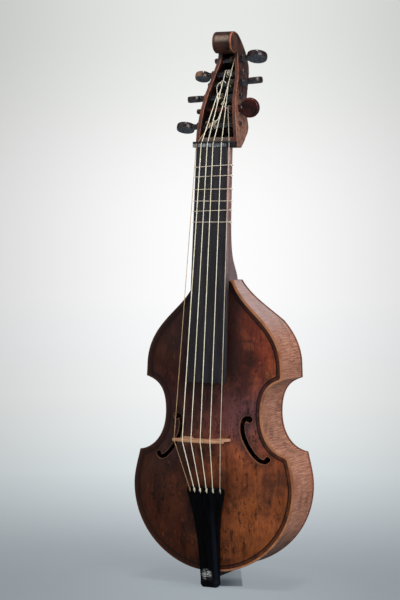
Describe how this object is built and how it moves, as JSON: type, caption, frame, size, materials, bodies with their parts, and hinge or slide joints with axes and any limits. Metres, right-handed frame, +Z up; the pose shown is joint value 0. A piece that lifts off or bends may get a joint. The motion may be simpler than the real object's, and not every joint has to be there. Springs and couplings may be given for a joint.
{
  "type": "viola da gamba",
  "caption": "Small bowed viol with an arched belly, canted flat back, tied gut frets, an open pegbox with turning pegs, an arched bridge and a tailpiece hooked over a tail bar.",
  "frame": {"origin": "middle of the tail foot's flat lower end, in the plane of the belly's edge", "axes": "+Z up the instrument from tail to scroll, -Y out of the front (belly) side, +X to the viewer's right"},
  "size_m": [0.209, 0.1118, 0.667],
  "materials": {
    "belly_varnish": "worn satin varnish",
    "ribs_maple": "satin varnish on flamed maple",
    "neck_maple": "hand-worn satin",
    "dark_maple": "satin varnish with worn edges",
    "peg_wood": "polished hardwood",
    "bridge_maple": "bare maple",
    "inner_spruce": "bare spruce",
    "ebony": "polished ebony",
    "gut": "twisted gut"
  },
  "bodies": {
    "root": {"belly": "belly_varnish", "purfling": "ebony", "back": "ribs_maple", "rib_upper_left": "ribs_maple", "rib_upper_right": "ribs_maple", "rib_middle_left": "ribs_maple", "rib_middle_right": "ribs_maple", "rib_lower_left": "ribs_maple", "rib_lower_right": "ribs_maple", "top_block": "inner_spruce", "tail_block": "inner_spruce", "corner_block_lower_left": "inner_spruce", "corner_block_lower_right": "inner_spruce", "corner_block_upper_left": "inner_spruce", "corner_block_upper_right": "inner_spruce", "belly_linings": "inner_spruce", "back_linings": "inner_spruce", "bass_bar": "inner_spruce", "sound_post": "inner_spruce", "sound_post_plate": "inner_spruce", "fold_brace": "inner_spruce", "neck": "neck_maple", "head": "dark_maple", "fingerboard": "ebony", "nut": "ebony", "bridge": "bridge_maple", "tailpiece": "ebony", "hook_bar": "ebony", "string_1": "gut", "string_2": "gut", "string_3": "gut", "string_4": "gut", "string_5": "gut", "string_6": "gut"},
    "tuner_1": {"peg_1": "peg_wood", "winding_1": "gut"},
    "tuner_2": {"peg_2": "peg_wood", "winding_2": "gut"},
    "tuner_3": {"peg_3": "peg_wood", "winding_3": "gut"},
    "tuner_4": {"peg_4": "peg_wood", "winding_4": "gut"},
    "tuner_5": {"peg_5": "peg_wood", "winding_5": "gut"},
    "tuner_6": {"peg_6": "peg_wood", "winding_6": "gut"},
    "fret_band_1": {"fret_1": "gut"},
    "fret_band_2": {"fret_2": "gut"},
    "fret_band_3": {"fret_3": "gut"},
    "fret_band_4": {"fret_4": "gut"},
    "fret_band_5": {"fret_5": "gut"},
    "fret_band_6": {"fret_6": "gut"}
  },
  "joints": [
    {"name": "peg_turn_1", "type": "hinge", "parent": "root", "child": "tuner_1", "pos_m": [0, 0.0155, 0.554], "axis": [0.9986, 0, 0.0523], "continuous": true},
    {"name": "peg_turn_2", "type": "hinge", "parent": "root", "child": "tuner_2", "pos_m": [0, 0.0265, 0.5885], "axis": [0.9986, 0, 0.0523], "continuous": true},
    {"name": "peg_turn_3", "type": "hinge", "parent": "root", "child": "tuner_3", "pos_m": [0, 0.0395, 0.6175], "axis": [0.9969, 0, 0.0785], "continuous": true},
    {"name": "peg_turn_4", "type": "hinge", "parent": "root", "child": "tuner_4", "pos_m": [0, 0.046, 0.635], "axis": [0.9969, 0, 0.0785], "continuous": true},
    {"name": "peg_turn_5", "type": "hinge", "parent": "root", "child": "tuner_5", "pos_m": [0, 0.033, 0.605], "axis": [0.9969, 0, 0.0785], "continuous": true},
    {"name": "peg_turn_6", "type": "hinge", "parent": "root", "child": "tuner_6", "pos_m": [0, 0.0195, 0.5725], "axis": [0.9986, 0, 0.0523], "continuous": true},
    {"name": "fret_shift_1", "type": "slide", "parent": "root", "child": "fret_band_1", "axis": [0, 0.0584, 0.9983], "range_m": [-0.0025, 0.0025]},
    {"name": "fret_shift_2", "type": "slide", "parent": "root", "child": "fret_band_2", "axis": [0, 0.0584, 0.9983], "range_m": [-0.0025, 0.0025]},
    {"name": "fret_shift_3", "type": "slide", "parent": "root", "child": "fret_band_3", "axis": [0, 0.0584, 0.9983], "range_m": [-0.0025, 0.0025]},
    {"name": "fret_shift_4", "type": "slide", "parent": "root", "child": "fret_band_4", "axis": [0, 0.0584, 0.9983], "range_m": [-0.0025, 0.0025]},
    {"name": "fret_shift_5", "type": "slide", "parent": "root", "child": "fret_band_5", "axis": [0, 0.0584, 0.9983], "range_m": [-0.0025, 0.0025]},
    {"name": "fret_shift_6", "type": "slide", "parent": "root", "child": "fret_band_6", "axis": [0, 0.0584, 0.9983], "range_m": [-0.0025, 0.0025]}
  ]
}
